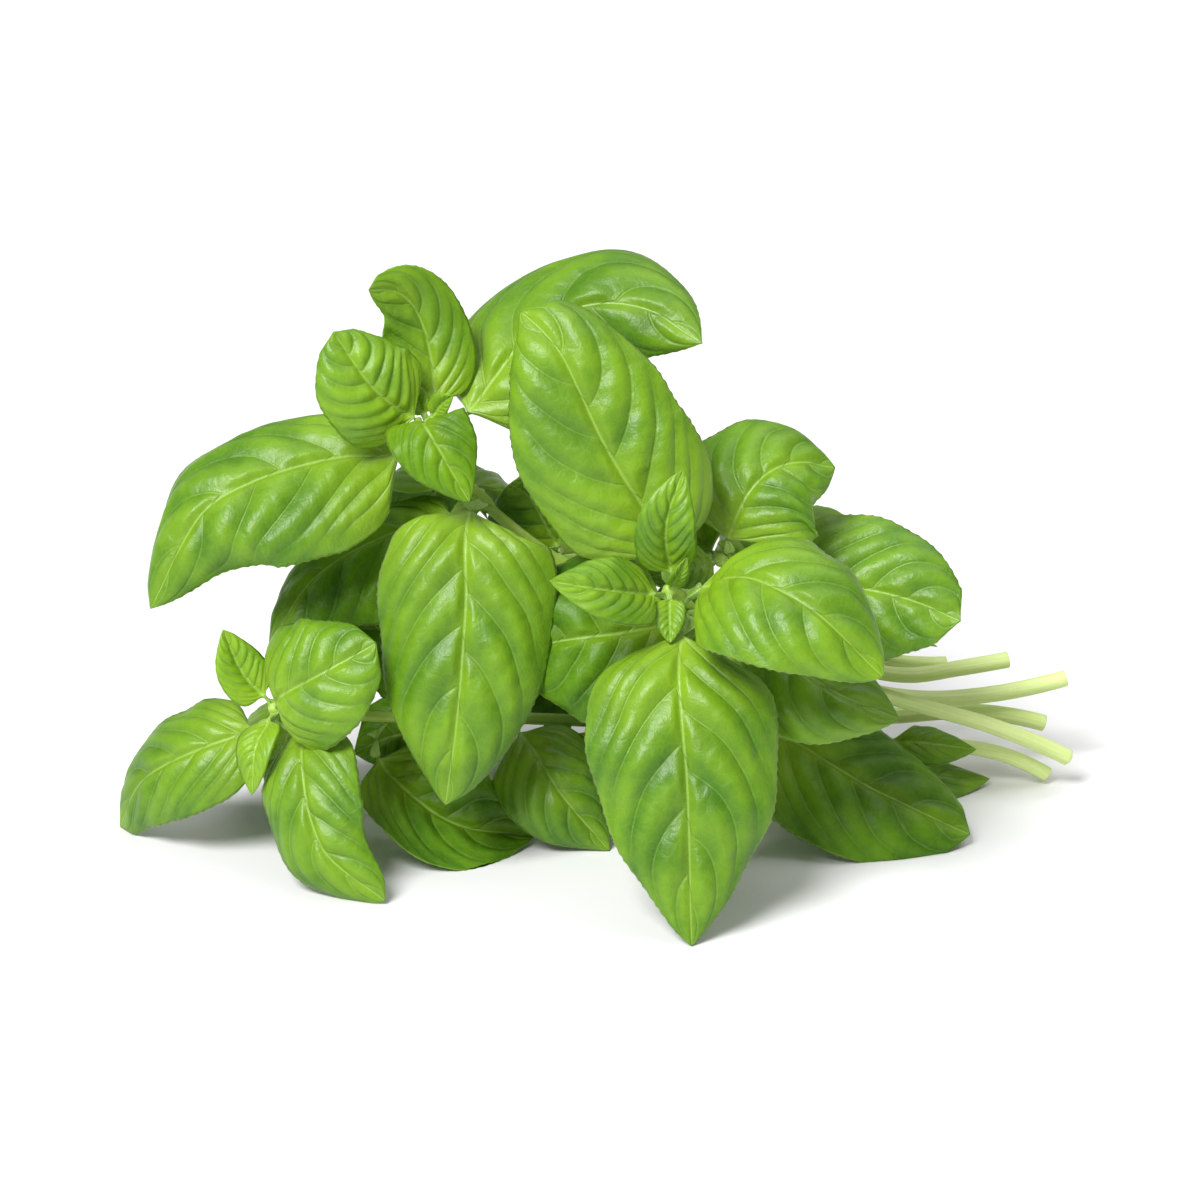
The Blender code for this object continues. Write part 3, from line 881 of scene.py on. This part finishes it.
def leaf_tissue(slot):
    """Glossy quilted green with pale veins, a pale margin painted as a highlight along the rim,
    a duller, paler underside, and painted shade: lighter on the swells between veins and darker
    in the vein creases.
    """
    graph = Graph(slot + "_tissue")
    x, y, phase = graph.attribute("blade_place")
    gap, reach, v = graph.attribute("blade_shares")
    tone, under, _ = graph.attribute("blade_side")
    flat = graph.vector(x, y, graph.times(tone, LEAF_SLICES))

    folded = graph.math("PINGPONG", phase, 0.5)
    from_vein = graph.times(folded, gap)
    inland = graph.near(reach, 0.6, 0.95)
    side_vein = graph.times(graph.near(from_vein, 0.05, 0.30), inland)
    off_axis = graph.math("ABSOLUTE", x)
    slimness = graph.less(graph.times(v, 0.8), 1.15)
    midrib = graph.near(graph.math("DIVIDE", off_axis, slimness), 0.18, 0.5)
    near_midrib = graph.near(off_axis, 0.5, 4.5)
    near_base = graph.near(v, 0.0, 0.42)
    stalk = graph.near(v, -0.02, 0.05)
    # Painted highlight: a pale line along the margin, where light catches the rim of the blade.
    margin = graph.ease(reach, 0.965, 0.995)
    net = graph.cell_edges(flat, NET_SCALE)
    net_line = graph.near(net, 0.01, 0.10)
    fine_net = graph.cell_edges(flat, FINE_NET_SCALE)
    patches = graph.ease(graph.noise(flat, PATCH_SCALE, 3.0), 0.38, 0.64)
    mottle = graph.noise(flat, MOTTLE_SCALE, 4.0)
    # Painted shade and highlight: the share of the way onto the swell between two veins, which
    # paints the green lighter on the swells and darker in the vein creases.
    swell = graph.ease(folded, 0.04, 0.45)

    # The leaf's own uneven tone, from patches, tone and mottle, plus painted shade from the
    # swells.
    tone_and_painted_shade = graph.blend((patches, 0.36), (swell, 0.2), (tone, 0.34), (mottle, 0.15))
    colour = graph.paint(
        graph.mix(tone_and_painted_shade, LEAF_COLOURS[slot]["deep"], LEAF_COLOURS[slot]["bright"]),
        (near_base, 0.5, YELLOW_BASE),
        (near_midrib, 0.22, YELLOW_BASE),
        (net_line, 0.04, PALE_VEIN),
        (side_vein, 0.13, PALE_VEIN),
        (midrib, 0.42, PALE_VEIN),
        # painted highlight along the rim
        (margin, 0.45, PALE_VEIN),
        (stalk, 0.8, PALE_VEIN),
        (under, 0.5, UNDERSIDE),
    )
    roughness = graph.blend((mottle, 0.12), (under, 0.16), (net_line, 0.04), start=0.34)
    height = graph.blend(
        (graph.ease(net, 0.0, 0.28), 0.04),
        (graph.ease(fine_net, 0.0, 0.3), 0.018),
        (graph.times(graph.ease(from_vein, 0.0, 0.6), inland), 0.15),
        (graph.noise(flat, GRAIN_SCALE, 3.0), 0.03),
    )
    facing = graph.less(graph.times(under, 2.0))
    return graph.finish(
        Base_Color=colour,
        Roughness=roughness,
        Normal=graph.bump(graph.times(height, facing), 0.9),
        IOR=1.42,
        Specular_IOR_Level=LEAF_GLOSS[slot],
        Subsurface_Scale=METRES,
        **LEAF_GLOW,
    )


STEM_PALE = (0.66, 0.78, 0.31)
STEM_GREEN = (0.38, 0.56, 0.08)
PITH = (0.82, 0.88, 0.45)


def stem_tissue():
    """Pale celery green with long streaks, greener towards the tip, and a pale cut face."""
    graph = Graph("stem_tissue")
    a, b, along = graph.attribute("stem_place")
    share, cut, tone = graph.attribute("stem_shares")
    slice_start = graph.times(tone, STEM_SLICES)
    drawn_out = graph.plus(graph.times(along, STREAK_SQUEEZE), slice_start)
    streaks = graph.noise(graph.vector(a, b, drawn_out), STREAK_SCALE, 3.0)
    plain = graph.plus(along, slice_start)
    blotches = graph.noise(graph.vector(a, b, plain), BLOTCH_SCALE, 3.0)
    colour = graph.paint(
        graph.mix(graph.ease(share, 0.15, 0.75), STEM_PALE, STEM_GREEN),
        (graph.ease(streaks, 0.35, 0.7), 0.3, STEM_GREEN),
        (graph.ease(blotches, 0.5, 0.8), 0.25, PITH),
        (graph.ease(cut, 0.05, 0.3), 1.0, PITH),
    )
    height = graph.blend((streaks, 0.12), (blotches, 0.05))
    return graph.finish(
        Base_Color=colour,
        Roughness=graph.blend((streaks, 0.15), start=0.4),
        Normal=graph.bump(height, 0.8),
        Subsurface_Scale=METRES,
        **STEM_GLOW,
    )


# ---------------------------------------------------------------- the studio

FLOOR_SIZE = 30
FLOOR_WHITE = (0.8, 0.8, 0.8)
WORLD_STRENGTH = 0.33
CAMERA_DISTANCE = 1.5
CAMERA_ELEVATION = math.radians(21)
CAMERA_LENS = 189.0
CAMERA_SENSOR = 36.0

# Where the camera looks, as shares of the CAD model's box.
AIM_SHARES = (0.5008, 0.4489, 0.4497)

# Even, soft lights from far away: the direction that each comes from, and its spread in degrees.
LIGHTS = {
    "key": {"direction": (-0.42, -0.62, 0.85), "spread": 26, "strength": 4.0},
    "top": {"direction": (0.3, 0.25, 1.0), "spread": 50, "strength": 0.9},
}


def make_floor():
    """The white surface that the bunch lies on."""
    bpy.ops.mesh.primitive_plane_add(size=FLOOR_SIZE)
    floor = bpy.context.object
    floor.name = "floor"
    graph = Graph("floor_white")
    white = graph.finish(Base_Color=FLOOR_WHITE, Roughness=0.6, Specular_IOR_Level=0.2)
    floor.data.materials.append(white)


def add_light(name, direction, spread, strength):
    """An even, soft light from far away, from the given direction."""
    light = bpy.data.lights.new(name, "SUN")
    light.angle = math.radians(spread)
    light.energy = strength
    lamp = bpy.data.objects.new(name, light)
    bpy.context.scene.collection.objects.link(lamp)
    lamp.rotation_euler = Vector(direction).to_track_quat("Z", "Y").to_euler()


def add_camera():
    """A long lens from the front and a little above."""
    low, high = cad_box
    target = Vector([a + (b - a) * share for a, b, share in zip(low, high, AIM_SHARES)])
    camera = bpy.data.cameras.new("camera")
    camera.lens = CAMERA_LENS
    camera.sensor_width = CAMERA_SENSOR
    holder = bpy.data.objects.new("camera", camera)
    bpy.context.scene.collection.objects.link(holder)
    back = Vector((0, -math.cos(CAMERA_ELEVATION), math.sin(CAMERA_ELEVATION)))
    holder.location = target + back * CAMERA_DISTANCE
    holder.rotation_euler = (target - holder.location).to_track_quat("-Z", "Y").to_euler()
    bpy.context.scene.camera = holder


def make_studio():
    """White floor and surroundings, the lights and the camera."""
    make_floor()
    world = bpy.data.worlds.new("studio")
    bpy.context.scene.world = world
    world.use_nodes = True
    background = world.node_tree.nodes["Background"]
    background.inputs["Color"].default_value = (1, 1, 1, 1)
    background.inputs["Strength"].default_value = WORLD_STRENGTH
    for name, light in LIGHTS.items():
        add_light(name, **light)
    add_camera()
    bpy.context.scene.view_settings.view_transform = "Standard"


def make_bunch():
    """A finished piece for every CAD node."""
    tissues = {slot: leaf_tissue(slot) for slot in HABITS}
    tissues[STEM_SLOT] = stem_tissue()
    bases = leaf_bases()
    for node, slot in sorted(SLOTS.items()):
        if slot == STEM_SLOT:
            piece = make_stem(node, tissues[slot], bases)
        else:
            piece = make_leaf(node, tissues[slot])
        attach(piece, "root")
        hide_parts(node)


make_bunch()
make_studio()
